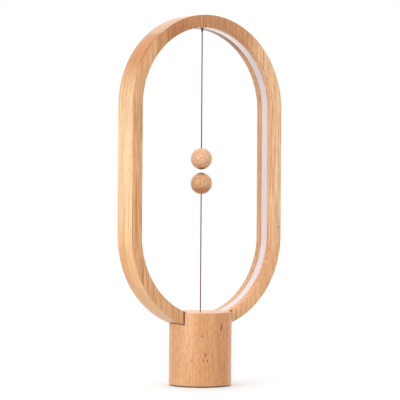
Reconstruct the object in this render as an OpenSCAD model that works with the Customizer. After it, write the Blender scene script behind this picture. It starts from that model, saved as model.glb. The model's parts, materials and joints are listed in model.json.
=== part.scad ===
// Magnetic balance lamp: an upright beech ring with an LED strip inside it, set in a round beech base.
// Two balls with magnets hang and stand on cords. The lower cord pulls a switch in the base.
// Millimetres, +Z up, the front faces -Y, and the origin is on the table under the middle of the base.
// The lamp is drawn switched on: the magnets hold the lower ball up, just short of the upper one.

/* [Ring] */
// Height of the whole lamp
lamp_h = 400; // [360:1:440]
// Outer width of the ring
ring_w = 200; // [180:1:220]
// Depth of the ring, front to back
ring_depth = 27; // [24:0.5:32]
// Thickness of the ring, from its outer to its inner face
ring_t = 13.5; // [12:0.5:16]
// Wood left inside the ring's bottom, which fills it level with the top of the base
ring_fill = 4; // [3:0.25:6]
// Edge break on the ring's edges
ring_edge = 0.6; // [0.3:0.1:1.2]

/* [Light] */
// Width of the milky diffuser
diffuser_w = 10; // [9:0.25:12]
// Thickness of the diffuser
diffuser_t = 2; // [1.5:0.1:2.4]
// How far the diffuser's face lies below the wood
diffuser_set = 0.1; // [0.05:0.05:0.4]
// Width of the LED strip
led_strip_w = 8; // [7:0.25:8.25]
// Thickness of the LED strip
led_strip_t = 0.3; // [0.2:0.05:0.5]
// Depth of the groove for strip and diffuser
groove_depth = 7; // [6:0.25:8]
// Length, width and height of one LED
led_size = [3.5, 2.8, 0.8];
// Distance from one LED to the next along the strip
led_pitch = 14.7; // [10:0.1:20]
// Where the diffuser ends, in degrees from the lowest point of the ring
diffuser_end = 18.5; // [18:0.5:26]
// Where the hidden end of the strip's channel is, in degrees from the lowest point
channel_end = 12; // [11:0.5:14]

/* [Base] */
// Height of the base
base_h = 79.5; // [72:0.5:90]
// Radius of the base
base_r = 34; // [32:0.5:40]
// Wall of the base round its cavity
base_wall = 9; // [8.5:0.25:9.5]
// Wood left between the cavity and the ring
web_t = 7; // [6:0.25:9]
// Edge break at the top of the base
base_edge = 0.6; // [0.3:0.1:1.5]
// Edge break at the foot of the base
foot_edge = 0.8; // [0.3:0.1:1.5]

/* [Foot] */
// Thickness of the rubber foot pad
pad_t = 1.5; // [1:0.1:2.5]
// How far the pad sits back from the side of the base
pad_inset = 1.5; // [1:0.1:2]
// How far the pad stands out below the wood
pad_proud = 0.8; // [0.4:0.1:0.9]
// Thickness of the bottom cover
cover_t = 2; // [1.5:0.1:3]
// Width of the ledge that the bottom cover lies on
cover_ledge = 5.3; // [5:0.1:6]
// Thickness of the steel ballast
ballast_t = 8; // [5:0.5:10]
// Screws in the bottom cover
cover_screw_count = 3; // [3:1:6]

/* [Balls] */
// Diameter of each ball
ball_d = 23.5; // [20:0.5:28]
// Gap that the magnets hold between the balls
ball_gap = 2.5; // [1:0.25:6]
// Length of the upper cord, from its bead's centre to the ball
upper_cord_l = 128; // [90:1:150]
// Diameter of both cords
cord_d = 1.2; // [0.8:0.1:1.4]
// Diameter of each magnet
magnet_d = 8; // [6:0.5:12]
// Thickness of each magnet
magnet_t = 5; // [3:0.5:6]
// Thickness of the wooden plug over a magnet, at its middle
ball_plug_t = 1.8; // [1.4:0.1:2.6]
// Diameter of the knot at the end of a cord
knot_d = 2.6; // [2.2:0.1:2.8]
// Diameter of the bead where the upper cord leaves the ring
bead_d = 2.4; // [2:0.1:3]

/* [Eyelets] */
// Outer diameter of the upper eyelet's tube
top_eyelet_d = 3; // [2.6:0.1:3.4]
// Flange of the upper eyelet: diameter
top_flange_d = 4.5; // [4:0.1:5.5]
// Flange of the upper eyelet: thickness
top_flange_t = 0.6; // [0.4:0.1:1]
// Outer diameter of the base eyelet's tube
base_eyelet_d = 4; // [3.6:0.1:5]
// Rim of the base eyelet: diameter
base_rim_d = 6.6; // [6.2:0.1:8]
// Length of the base eyelet
base_eyelet_l = 8; // [6:0.5:10]
// Bore of both eyelets
eyelet_bore = 1.8; // [1.6:0.05:2]

/* [Switch] */
// Distance from the cord to the lever's pivot
lever_arm = 16.5; // [15:0.5:17]
// Distance from the plunger to the lever's pivot
plunger_arm = 5; // [4.5:0.25:6]
// Width of the lever
lever_w = 4.4; // [3.6:0.2:4.8]
// Thickness of the lever
lever_t = 1; // [0.8:0.1:1.2]
// Length, width and height of the switch housing
switch_size = [12.8, 5.8, 6.5];
// Distance between the switch's two fixing holes
switch_hole_pitch = 6.5; // [6:0.1:7]
// Diameter of the plunger
plunger_d = 1.6; // [1.2:0.1:2]
// Sheet thickness of the switch bracket
bracket_t = 1.2; // [0.8:0.1:1.4]
// Length of the switch terminals
terminal_l = 3; // [2.5:0.25:3.2]
// Diameter of the lever's pin
lever_pin_d = 1.5; // [1.2:0.1:1.8]
// Diameter of the stop on the end of the cord
stop_d = 3.6; // [3.2:0.1:4.2]
// Height of the stop on the end of the cord
stop_h = 3.4; // [2.5:0.1:5]

/* [Circuit] */
// Thickness of the circuit board
board_t = 1.6; // [1:0.1:2]
// Gap between the circuit board and the wall of the cavity
board_gap = 1.7; // [1:0.1:2.5]
// Height of the spacers under the board
spacer_h = 5.5; // [4:0.5:8]
// Diameter of the spacers
spacer_d = 5; // [4:0.25:6]
// Width, length and height of the power socket
socket_size = [8.9, 7.4, 3.2];
// Wall of the power socket's shell
socket_wall = 0.35; // [0.25:0.05:0.5]
// Width of the recess for the plug
plug_w = 12.4; // [12:0.1:14]
// Height of the recess for the plug
plug_h = 7.4; // [7:0.1:9]
// Depth of the recess for the plug
plug_depth = 6.5; // [5:0.25:7]
// Diameter of the lead wires
lead_d = 1.2; // [0.8:0.1:1.4]

/* [Hidden] */
$fn = 96;

// Clearances
fit = 0.1;         // round or flat pieces set into one another
slot_gap = 0.15;   // ring in its slot
swing_gap = 0.3;   // pieces that move against each other
pin_gap = 0.05;    // a pin in the bore that it turns in
wood_gap = 0.05;   // a screw in its pilot hole
past = 1;          // how far a cut runs past the face that it opens

// Ring
ring_r = ring_w / 2;
inner_r = ring_r - ring_t;
ring_z = base_h - ring_t - ring_fill;
low_c = ring_z + ring_r;
top_c = lamp_h - ring_r;
side_l = top_c - low_c;
inner_top = lamp_h - ring_t;
half_depth = ring_depth / 2;
flat_x = sqrt(pow(inner_r, 2) - pow(low_c - base_h, 2));

// Groove with the light
mouth_w = diffuser_w + 4 * fit;
mouth_depth = diffuser_set + diffuser_t + fit;
channel_w = led_strip_w + 4 * fit;
floor_r = inner_r + groove_depth;
strip_r = floor_r - led_strip_t;
strip_end = channel_end + 3.5;
lead_hole_r = 2.25;
lead_x = floor_r * sin(channel_end) + lead_hole_r + 0.3;

// Base
cavity_r = base_r - base_wall;
cavity_top = ring_z - web_t;
wood_z = pad_proud;
pad_r = base_r - pad_inset;
cover_z = pad_t;
ballast_z = cover_z + cover_t;
ballast_r = cavity_r - 0.5;
cover_r = cavity_r + cover_ledge;
ledge_r = cavity_r + cover_ledge / 2;
board_r = cavity_r - board_gap;
board_z = ballast_z + ballast_t + spacer_h;
board_top = board_z + board_t;
ballast_floor = 1;
plug_corner = 1.8;
window_corner = 1.2;

// Balls and cords
ball_r = ball_d / 2;
cord_r = cord_d / 2;
knot_r = knot_d / 2;
bead_r = bead_d / 2;
bend_r = 0.8;
cord_hole_r = cord_r + swing_gap;
knot_hole_r = knot_r + fit;
upper_pivot = inner_top - top_flange_t - swing_gap - bead_r;
upper_ball_z = upper_pivot - upper_cord_l - ball_r;
lower_ball_z = upper_ball_z - ball_d - ball_gap;
lower_pivot = base_h + swing_gap + bend_r;
lower_cord_z = lower_pivot + bend_r + swing_gap;
cord_into_ball = 1;
cord_way_r = eyelet_bore / 2 + 0.4;
knot_room = 0.8;
base_rim_t = 1;
// Distances along a ball's axis, from its centre towards the other ball
plug_start = ball_r - ball_plug_t;
magnet_start = plug_start - fit - magnet_t;
knot_place = magnet_start - 2 * fit - knot_r;

// Switch, under the cavity's top
switch_z = cavity_top - 1 - terminal_l - switch_size[2];
switch_top = switch_z + switch_size[2];
terminal_size = [0.9, 0.5];
terminal_pitch = 5.08;
lever_z = switch_z - 2.5;
pivot_x = lever_arm;
plunger_x = pivot_x - plunger_arm;
switch_x = plunger_x - 1.1;
hub_r = lever_pin_d / 2 + 0.9;
ear_y = switch_size[1] / 2 + fit;
ear_out = ear_y + bracket_t;
ear_x0 = switch_x - switch_size[0] / 2 - 0.4;
ear_x1 = pivot_x + hub_r + 0.6;
flange_l = 11;
flange_w = 8.8;
bracket_hole_x = ear_x0 + flange_l / 2;
bracket_hole_y = ear_out + flange_w / 2;
switch_hole_z = switch_top - 1.6;
stop_top = lever_z - lever_t / 2 - swing_gap - 0.05;

// Screws: shank radius, head radius, head height, and the shares of these that shape tip and head
tip_share = 0.3;
pan_share = 0.8;
cross_width = 0.25;
frame_screw = [1.6, 3.1, 2.2];
cover_screw = [1.1, 2.1, 1.2];
small_screw = [1, 1.9, 1.3];
bracket_screw = [1.4, 2.7, 1.8];
ballast_screw_size = [2, 4, 1.4];
frame_screw_x = cavity_r - 6;
frame_screw_y = 8.5;
// How far each kind of screw goes into the wood, and how much deeper its pilot hole is
frame_grip = 10;
bracket_grip = 4.8;
cover_grip = 6.5;
pilot_spare = 0.5;
board_grip = 4;
frame_screw_l = web_t + frame_grip;
bracket_screw_l = bracket_t + bracket_grip;
cover_screw_l = cover_t + cover_grip;

// Places on the board
board_post_r = board_r - spacer_d / 2 - 1.8;
board_post_angles = [30, 150, 270];
socket_reach = 4;
chip_at = [-7, -5];
chip_size = [5, 4, 1.5];
inductor_at = [-11, 3];
inductor_size = [6, 6, 3];
capacitor_at = [-1.5, -13];
capacitor_size = [6.2, 7.2];
socket_y = base_r - plug_depth - 0.5;
socket_z = board_top + socket_size[2] / 2;
led_connector_at = [14, 0];
switch_connector_at = [6, -10];
connector_size = [5.5, 4.5, 4.2];
wire_gap = 0.75;

wood = [0.87, 0.65, 0.45];
pale_wood = [0.90, 0.69, 0.49];
plug_wood = [0.80, 0.57, 0.37];
milky = [0.90, 0.86, 0.87];
white = [0.95, 0.95, 0.93];
led_yellow = [0.98, 0.88, 0.45];
steel = [0.70, 0.71, 0.73];
nickel = [0.82, 0.82, 0.84];
black = [0.10, 0.10, 0.11];
brass = [0.80, 0.65, 0.32];
board_green = [0.08, 0.36, 0.20];
cord_red = [0.42, 0.20, 0.20];
lead_red = [0.75, 0.12, 0.10];
lead_black = [0.12, 0.12, 0.12];

// ---- helpers ----

// A profile, x from the ring's middle line and y along its depth, swept round the ring.
// The sweep stops at stop degrees from the ring's lowest point; 0 closes it.
module round_the_ring(stop = 0) {
    translate([0, 0, top_c]) rotate([-90, 0, 0]) rotate([0, 0, 180])
        rotate_extrude(angle = 180) children();
    for (side = [0, 1]) mirror([side, 0, 0]) {
        translate([0, 0, low_c]) linear_extrude(height = side_l) children();
        translate([0, 0, low_c]) rotate([-90, 0, 0]) rotate_extrude(angle = 90 - stop) children();
    }
}

// Puts its children on the ring at distance s along radius r from the top, their +Z pointing outwards.
module on_the_ring(s, r) {
    arc = r * PI / 2;
    at_top = s < arc;
    at_low = s > arc + side_l;
    down = at_top ? 0 : at_low ? side_l : s - arc;
    angle = at_top ? s / r * 180 / PI : at_low ? (s - side_l) / r * 180 / PI : 90;
    translate([0, 0, top_c - down]) rotate([0, angle, 0]) translate([0, 0, r]) children();
}

module round_rect(w, h, r) {
    square([w - 2 * r, h], center = true);
    square([w, h - 2 * r], center = true);
    for (x = [-1, 1], y = [-1, 1]) translate([x * (w / 2 - r), y * (h / 2 - r)]) circle(r);
}

module block(w, d, h) {
    translate([-w / 2, -d / 2, 0]) cube([w, d, h]);
}

module along_y(l) {
    rotate([90, 0, 0]) translate([0, 0, -l / 2]) children();
}

// The cross that a screwdriver fits, from z = -past up to depth, in a head of radius r
module driver_cross(r, depth) {
    for (a = [0, 90]) rotate([0, 0, a]) translate([0, 0, -past])
        block(r, r * cross_width, past + depth);
}

// A pan-head screw: the head lies below z = 0 and the shank rises to l.
// size is [shank radius, head radius, head height].
module pan_screw(size, l) {
    tip = size[0];
    cylinder(r = size[0], h = l - tip);
    translate([0, 0, l - tip]) cylinder(r1 = size[0], r2 = size[0] * tip_share, h = tip);
    translate([0, 0, -size[2]]) difference() {
        cylinder(r1 = size[1] * pan_share, r2 = size[1], h = size[2]);
        driver_cross(size[1], size[2] * 0.55);
    }
}

// A countersunk screw: its flat head is level with z = 0 and the shank rises to l.
module flat_screw(size, l) {
    difference() {
        union() {
            cylinder(r1 = size[1], r2 = size[0], h = size[2]);
            translate([0, 0, size[2]]) cylinder(r = size[0], h = l - size[2]);
        }
        driver_cross(size[1], size[2] * 0.5);
    }
}

function unit(v) = v / norm(v);
function tangent(p, i) = unit(p[min(i + 1, len(p) - 1)] - p[max(i - 1, 0)]);
function normals(p, n, i = 0) = i == len(p) ? [] :
    let (t = tangent(p, i), m = unit(n - (n * t) * t)) concat([m], normals(p, m, i + 1));
function curve_point(a, b, c, d, t) =
    (2 * b + (c - a) * t + (2 * a - 5 * b + 4 * c - d) * pow(t, 2)
        + (3 * b - a - 3 * c + d) * pow(t, 3)) / 2;
// A smooth line through the points p, with so many steps between two of them
function smooth(p, steps) = concat(
    [for (i = [0 : len(p) - 2], k = [0 : steps - 1])
        curve_point(p[max(i - 1, 0)], p[i], p[i + 1], p[min(i + 2, len(p) - 1)], k / steps)],
    [p[len(p) - 1]]);

// A round wire of radius r along the points p
module wire(p, r, start_normal, steps = 3, sides = 8) {
    line = smooth(p, steps);
    across = normals(line, start_normal);
    rings = [for (i = [0 : len(line) - 1]) let (n = across[i], b = cross(tangent(line, i), n))
        for (a = [0 : 360 / sides : 359]) line[i] + r * (n * cos(a) + b * sin(a))];
    last = (len(line) - 1) * sides;
    walls = [for (i = [0 : len(line) - 2], k = [0 : sides - 1])
        let (a = i * sides + k, b = i * sides + (k + 1) % sides)
            each [[a, a + sides, b], [b, a + sides, b + sides]]];
    polyhedron(rings, concat(walls, [[for (k = [0 : sides - 1]) k]],
        [[for (k = [sides - 1 : -1 : 0]) last + k]]));
}

// ---- ring ----

module ring_section() {
    polygon([
        [inner_r + ring_edge, -half_depth], [ring_r - ring_edge, -half_depth],
        [ring_r, -half_depth + ring_edge], [ring_r, 0],
        [inner_r, 0], [inner_r, -half_depth + ring_edge]
    ]);
}

module light_groove() {
    overlap = 0.5;
    round_the_ring(diffuser_end) translate([inner_r - past, -mouth_w / 2])
        square([past + mouth_depth, mouth_w]);
    round_the_ring(channel_end) translate([inner_r + mouth_depth - overlap, -channel_w / 2])
        square([groove_depth - mouth_depth + overlap, channel_w]);
}

module frame_half() {
    difference() {
        union() {
            round_the_ring() ring_section();
            translate([-flat_x, -half_depth, base_h - ring_fill - ring_t / 2])
                cube([2 * flat_x, half_depth, ring_fill + ring_t / 2]);
        }
        light_groove();
        // anchor hole of the upper cord
        translate([0, 0, inner_top])
            cylinder(r = top_eyelet_d / 2 + fit, h = groove_depth + knot_d + knot_room);
        // hole for the lower cord and seat of its eyelet
        translate([0, 0, ring_z - past]) cylinder(r = cord_way_r, h = ring_fill + ring_t + 2 * past);
        translate([0, 0, base_h - base_eyelet_l - fit])
            cylinder(r = base_eyelet_d / 2 + fit, h = base_eyelet_l + past);
        translate([0, 0, base_h - base_rim_t - fit])
            cylinder(r = base_rim_d / 2 + fit, h = base_rim_t + fit + past);
        // passage for the leads
        translate([lead_x, 0, ring_z - past]) cylinder(r = lead_hole_r, h = groove_depth + 4);
        // pilot holes of the frame screws
        for (x = [-1, 1]) translate([x * frame_screw_x, -frame_screw_y, ring_z - past])
            cylinder(r = frame_screw[0] + wood_gap, h = frame_grip + past + pilot_spare);
    }
}

module frame_front_half() {
    color(wood) frame_half();
}

module frame_rear_half() {
    color(pale_wood) mirror([0, 1, 0]) frame_half();
}

module frame_screws() {
    color(steel) for (x = [-1, 1], y = [-1, 1])
        translate([x * frame_screw_x, y * frame_screw_y, cavity_top])
            pan_screw(frame_screw, frame_screw_l);
}

// A flat face strip with two low ribs behind it that stiffen it over the channel
module diffuser_section() {
    face = inner_r + diffuser_set;
    rib_w = 1;
    rib_h = 1.2;
    rib_y = channel_w / 2 - fit - rib_w / 2;
    translate([face, -diffuser_w / 2]) square([diffuser_t, diffuser_w]);
    for (y = [-1, 1]) translate([face + diffuser_t / 2, y * rib_y - rib_w / 2])
        square([diffuser_t / 2 + rib_h, rib_w]);
}

module diffuser() {
    color(milky) difference() {
        round_the_ring(diffuser_end + 0.2) diffuser_section();
        translate([0, 0, inner_top - past]) cylinder(r = top_eyelet_d / 2 + fit, h = groove_depth);
    }
}

module led_strip() {
    color(white) difference() {
        round_the_ring(strip_end) translate([strip_r, -led_strip_w / 2])
            square([led_strip_t, led_strip_w]);
        translate([0, 0, inner_top]) cylinder(r = top_eyelet_d / 2 + 2 * fit, h = groove_depth + past);
    }
}

module led_chips() {
    solder = 0.02;
    side_path = strip_r * PI * (180 - strip_end) / 180 + side_l;
    count = floor((side_path - led_size[0]) / led_pitch);
    color(led_yellow) for (side = [0, 1], i = [0 : count - 1]) mirror([side, 0, 0])
        on_the_ring((i + 0.5) * led_pitch, strip_r - led_size[2] - solder)
            block(led_size[0], led_size[1], led_size[2]);
}

// ---- base ----

module base_body() {
    color(wood) difference() {
        rotate_extrude() polygon([
            [0, wood_z], [base_r - foot_edge, wood_z], [base_r, wood_z + foot_edge],
            [base_r, base_h - base_edge], [base_r - base_edge, base_h], [0, base_h]
        ]);
        // slot that the ring sits in
        translate([0, 0, low_c]) along_y(ring_depth + 2 * slot_gap)
            cylinder(r = ring_r + slot_gap, h = ring_depth + 2 * slot_gap, $fn = 240);
        // recess of the pad, seat of the cover, and cavity
        cylinder(r = pad_r + fit, h = pad_t);
        cylinder(r = cover_r + fit, h = ballast_z);
        cylinder(r = cavity_r, h = cavity_top);
        // lower cord and leads
        translate([0, 0, cavity_top - past]) cylinder(r = cord_way_r, h = web_t + 2 * past);
        translate([lead_x, 0, cavity_top - past]) cylinder(r = lead_hole_r, h = web_t + 4 * past);
        // screws of frame, bracket and cover
        for (x = [-1, 1], y = [-1, 1])
            translate([x * frame_screw_x, y * frame_screw_y, cavity_top - past])
                cylinder(r = frame_screw[0] + 2 * fit, h = web_t + 4 * past);
        for (y = [-1, 1]) translate([bracket_hole_x, y * bracket_hole_y, cavity_top - past])
            cylinder(r = bracket_screw[0] + wood_gap, h = bracket_grip + past + pilot_spare);
        at_cover_screws() translate([0, 0, ballast_z - past])
            cylinder(r = cover_screw[0] + wood_gap, h = cover_grip + past + pilot_spare);
        // recess for the plug, and window for the socket
        translate([0, base_r - plug_depth, socket_z]) rotate([-90, 0, 0])
            linear_extrude(height = plug_depth + past) round_rect(plug_w, plug_h, plug_corner);
        translate([0, cavity_r - past * 3, socket_z]) rotate([-90, 0, 0])
            linear_extrude(height = base_wall)
                round_rect(socket_size[0] + 2 * fit, socket_size[2] + 2 * fit, window_corner);
    }
}

module at_cover_screws() {
    for (i = [0 : cover_screw_count - 1]) rotate([0, 0, 360 * i / cover_screw_count - 90])
        translate([ledge_r, 0, 0]) children();
}

module foot_pad() {
    color(black) cylinder(r = pad_r, h = pad_t);
}

module bottom_cover() {
    color(white) translate([0, 0, cover_z]) difference() {
        cylinder(r = cover_r, h = cover_t);
        at_cover_screws() flat_screw_hole(cover_screw);
        flat_screw_hole(ballast_screw_size);
    }
}

// The hole for a countersunk screw in the bottom cover
module flat_screw_hole(size) {
    translate([0, 0, -past]) cylinder(r = size[0] + fit, h = cover_t + 2 * past);
    cylinder(r1 = size[1] + fit, r2 = size[0] + fit, h = size[2]);
}

module cover_screws() {
    color(steel) at_cover_screws() translate([0, 0, cover_z]) flat_screw(cover_screw, cover_screw_l);
}

module ballast() {
    color(steel) difference() {
        translate([0, 0, ballast_z]) cylinder(r = ballast_r, h = ballast_t);
        translate([0, 0, ballast_z - past])
            cylinder(r = ballast_screw_size[0] + wood_gap, h = ballast_t - ballast_floor + past);
        at_board_posts() translate([0, 0, ballast_z + past])
            cylinder(r = small_screw[0] + wood_gap, h = ballast_t);
    }
}

module ballast_screw() {
    color(steel) translate([0, 0, cover_z])
        flat_screw(ballast_screw_size, cover_t + ballast_t - 2 * ballast_floor);
}

// ---- circuit ----

module at_board_posts() {
    for (a = board_post_angles) rotate([0, 0, a]) translate([board_post_r, 0, 0]) children();
}

module main_board() {
    color(board_green) difference() {
        translate([0, 0, board_z]) cylinder(r = board_r, h = board_t);
        at_board_posts() translate([0, 0, board_z - past])
            cylinder(r = small_screw[0] + fit, h = board_t + 2 * past);
        translate([-board_r, socket_y - socket_reach, board_z - past])
            cube([2 * board_r, board_r, board_t + 2 * past]);
    }
}

module board_spacers() {
    color(brass) at_board_posts() translate([0, 0, board_z - spacer_h]) difference() {
        cylinder(r = spacer_d / 2, h = spacer_h, $fn = 6);
        translate([0, 0, -past]) cylinder(r = small_screw[0] + fit, h = spacer_h + 2 * past);
    }
}

module board_screws() {
    color(steel) at_board_posts() translate([0, 0, board_top]) rotate([180, 0, 0])
        pan_screw(small_screw, board_t + spacer_h + board_grip);
}

module driver_chip() {
    leg = [0.4, 1.2, 0.3];
    leg_pitch = 1.27;
    color(black) translate([chip_at[0], chip_at[1], board_top]) {
        translate([0, 0, leg[2] / 2]) block(chip_size[0], chip_size[1], chip_size[2]);
        for (i = [0 : 3], y = [-1, 1])
            translate([-1.9 + i * leg_pitch, y * (chip_size[1] + leg[0] * 2) / 2, 0])
                block(leg[0], leg[1], leg[2]);
    }
}

module inductor() {
    rim = 0.7;
    dip = 0.4;
    color(black) translate([inductor_at[0], inductor_at[1], board_top]) difference() {
        block(inductor_size[0], inductor_size[1], inductor_size[2]);
        translate([0, 0, inductor_size[2] - dip]) cylinder(r = inductor_size[0] / 2 - rim, h = past);
    }
}

module capacitor() {
    foot_t = 0.8;
    foot_w = capacitor_size[0] + 0.4;
    color(nickel) translate([capacitor_at[0], capacitor_at[1], board_top]) {
        block(foot_w, foot_w, foot_t);
        translate([0, 0, foot_t]) cylinder(r = capacitor_size[0] / 2, h = capacitor_size[1] - foot_t);
    }
}

module connector(at) {
    translate([at[0], at[1], board_top]) difference() {
        block(connector_size[0], connector_size[1], connector_size[2]);
        for (x = [-1, 1]) translate([x * connector_size[0] / 5, 0, 1])
            cylinder(r = lead_d / 2 + fit, h = connector_size[2]);
    }
}

module led_connector() {
    color(white) connector(led_connector_at);
}

module switch_connector() {
    color(white) connector(switch_connector_at);
}

module led_leads() {
    start_z = low_c - (strip_r - lead_d / 2 - fit) * cos(strip_end);
    start_x = (strip_r - lead_d / 2 - fit) * sin(strip_end);
    plug_z = board_top + connector_size[2];
    for (side = [-1, 1]) color(side < 0 ? lead_red : lead_black) wire([
        [start_x + 1.2, side * wire_gap, start_z + 0.4],
        [start_x - 0.6, side * wire_gap, start_z - 0.1],
        [lead_x + 0.4, side * wire_gap, start_z - 1.8],
        [lead_x, side * wire_gap, ring_z + 2],
        [lead_x, side * wire_gap, cavity_top - 2],
        [lead_x, side * wire_gap, cavity_top - 12],
        [lead_x - 1.5, side * wire_gap, cavity_top - 20],
        [(lead_x + led_connector_at[0]) / 2, side * wire_gap * 0.9, plug_z + 8],
        [led_connector_at[0] + side * connector_size[0] / 5, led_connector_at[1], plug_z + 3],
        [led_connector_at[0] + side * connector_size[0] / 5, led_connector_at[1], plug_z + 1],
        [led_connector_at[0] + side * connector_size[0] / 5, led_connector_at[1], plug_z - 1.5]
    ], lead_d / 2, [0, 1, 0]);
}

module switch_leads() {
    side_y = terminal_size[1] / 2 + lead_d / 2 + 0.02;
    x1 = switch_x - terminal_pitch;
    plug_z = board_top + connector_size[2];
    out = -connector_size[0] / 5;
    color(lead_black) wire([
        [x1 + 0.3, -side_y, switch_top + 1],
        [x1 - 1.6, -side_y - 0.6, switch_top + 0.8],
        [1.2, -3.4, switch_top - 0.6],
        [0.3, -6.2, switch_top - 3],
        [1.4, -8.6, switch_top - 9],
        [switch_connector_at[0] + out - 1.4, switch_connector_at[1] + 0.3, plug_z + 9],
        [switch_connector_at[0] + out, switch_connector_at[1], plug_z + 3],
        [switch_connector_at[0] + out, switch_connector_at[1], plug_z - 1.5]
    ], lead_d / 2, [0, 0, 1]);
    color(lead_red) wire([
        [switch_x + 0.3, -side_y, switch_top + 2.3],
        [switch_x - 2.6, -side_y - 0.5, switch_top + 2.4],
        [x1 - 0.4, -side_y - 1, switch_top + 2.4],
        [2, -2.3, switch_top + 2],
        [1.6, -5, switch_top + 0.2],
        [2.9, -8.2, switch_top - 5],
        [switch_connector_at[0] - out - 1.6, switch_connector_at[1] + 0.3, plug_z + 9],
        [switch_connector_at[0] - out, switch_connector_at[1], plug_z + 3],
        [switch_connector_at[0] - out, switch_connector_at[1], plug_z - 1.5]
    ], lead_d / 2, [0, 0, 1]);
}

module power_socket() {
    w = socket_size[0];
    h = socket_size[2];
    l = socket_size[1];
    round_r = h / 2 - 0.1;
    color(nickel) translate([0, socket_y - l, socket_z]) rotate([-90, 0, 0]) difference() {
        linear_extrude(height = l) round_rect(w, h, round_r);
        translate([0, 0, 1]) linear_extrude(height = l)
            round_rect(w - 2 * socket_wall, h - 2 * socket_wall, round_r - socket_wall);
    }
}

module socket_tongue() {
    color(black) translate([0, socket_y - socket_size[1] + 1, socket_z]) rotate([-90, 0, 0])
        linear_extrude(height = socket_size[1] - 2) square([socket_size[0] * 0.72, 0.7], center = true);
}

// ---- switch ----

module at_switch_holes() {
    for (x = [-1, 1]) translate([switch_x + x * switch_hole_pitch / 2, 0, switch_hole_z]) children();
}

module bracket_ear() {
    difference() {
        union() {
            translate([ear_x0, ear_y, lever_z]) cube([ear_x1 - ear_x0, bracket_t, cavity_top - lever_z]);
            translate([pivot_x, ear_y + bracket_t / 2, lever_z]) along_y(bracket_t)
                cylinder(r = ear_x1 - pivot_x, h = bracket_t);
            translate([ear_x0, ear_out, cavity_top - bracket_t]) cube([flange_l, flange_w, bracket_t]);
        }
        translate([pivot_x, ear_y + bracket_t / 2, lever_z]) along_y(3 * bracket_t)
            cylinder(r = lever_pin_d / 2 + 0.02, h = 3 * bracket_t);
        translate([0, ear_y + bracket_t / 2, 0]) at_switch_holes() along_y(3 * bracket_t)
            cylinder(r = small_screw[0] + fit, h = 3 * bracket_t);
        translate([bracket_hole_x, bracket_hole_y, cavity_top - 2 * bracket_t])
            cylinder(r = bracket_screw[0] + fit, h = 3 * bracket_t);
        // cut away beside the cord's end of the lever
        translate([ear_x0 - past, ear_y - past, lever_z - past])
            cube([pivot_x - hub_r - 1 - ear_x0 + past, bracket_t + 2 * past, switch_z - lever_z + past]);
    }
}

module switch_bracket() {
    color(steel) {
        bracket_ear();
        mirror([0, 1, 0]) bracket_ear();
        // cross piece that joins the two ears beyond the pivot
        translate([ear_x1 - bracket_t, -ear_y - fit, switch_z])
            cube([bracket_t, 2 * ear_y + 2 * fit, switch_size[2]]);
    }
}

module bracket_screws() {
    color(steel) for (y = [-1, 1]) translate([bracket_hole_x, y * bracket_hole_y, cavity_top - bracket_t])
        pan_screw(bracket_screw, bracket_screw_l);
}

module switch_housing() {
    color(black) difference() {
        translate([switch_x, 0, switch_z]) block(switch_size[0], switch_size[1], switch_size[2]);
        translate([plunger_x, 0, switch_z - past]) cylinder(r = plunger_d / 2 + pin_gap, h = past + 3);
        at_switch_holes() along_y(switch_size[1] + 2 * past)
            cylinder(r = small_screw[0] + fit, h = switch_size[1] + 2 * past);
    }
}

module switch_plunger() {
    tip = 0.4;
    low = lever_z + lever_t / 2 + 0.1;
    color(lead_red) translate([plunger_x, 0, low]) {
        cylinder(r1 = plunger_d / 2 - tip, r2 = plunger_d / 2, h = tip);
        translate([0, 0, tip]) cylinder(r = plunger_d / 2, h = switch_z + 2.8 - low - tip);
    }
}

module switch_terminals() {
    color(brass) for (i = [-1 : 1]) translate([switch_x + i * terminal_pitch, 0, switch_top])
        block(terminal_size[0], terminal_size[1], terminal_l);
}

module switch_screws() {
    l = 2 * ear_out + 1;
    color(steel) at_switch_holes() translate([0, -ear_out, 0]) rotate([-90, 0, 0])
        pan_screw(small_screw, l);
}

module switch_lever() {
    end_r = lever_w / 2;
    color(nickel) difference() {
        union() {
            translate([0, -lever_w / 2, lever_z - lever_t / 2]) cube([pivot_x, lever_w, lever_t]);
            translate([0, 0, lever_z - lever_t / 2]) cylinder(r = end_r, h = lever_t);
            translate([pivot_x, 0, lever_z]) along_y(2 * ear_y - 2 * swing_gap)
                cylinder(r = hub_r, h = 2 * ear_y - 2 * swing_gap);
        }
        translate([pivot_x, 0, lever_z]) along_y(4 * ear_y)
            cylinder(r = lever_pin_d / 2 + pin_gap, h = 4 * ear_y);
        translate([0, 0, lever_z - lever_t]) cylinder(r = cord_r + 0.5, h = 2 * lever_t);
    }
}

module lever_pin() {
    l = 2 * ear_out + 1;
    color(steel) translate([pivot_x, 0, lever_z]) along_y(l) cylinder(r = lever_pin_d / 2, h = l);
}

// ---- cords and balls ----

module upper_eyelet() {
    color(black) difference() {
        union() {
            translate([0, 0, inner_top - top_flange_t])
                cylinder(r = top_flange_d / 2, h = top_flange_t);
            translate([0, 0, inner_top - fit])
                cylinder(r = top_eyelet_d / 2, h = groove_depth - led_strip_t);
        }
        translate([0, 0, inner_top - top_flange_t - past])
            cylinder(r = eyelet_bore / 2, h = groove_depth + 2 * past);
    }
}

module upper_cord_anchor() {
    low = inner_top - top_flange_t;
    knot_z = inner_top + groove_depth + knot_r;
    color(cord_red) {
        translate([0, 0, low]) cylinder(r = cord_r, h = knot_z - low);
        translate([0, 0, knot_z]) sphere(r = knot_r);
    }
}

module upper_cord_bead() {
    color(black) translate([0, 0, upper_pivot]) sphere(r = bead_r);
}

module upper_cord() {
    top = upper_pivot - bead_r - swing_gap;
    low = upper_ball_z - knot_place + knot_r - 0.1;
    color(cord_red) translate([0, 0, low]) cylinder(r = cord_r, h = top - low);
}

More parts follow.
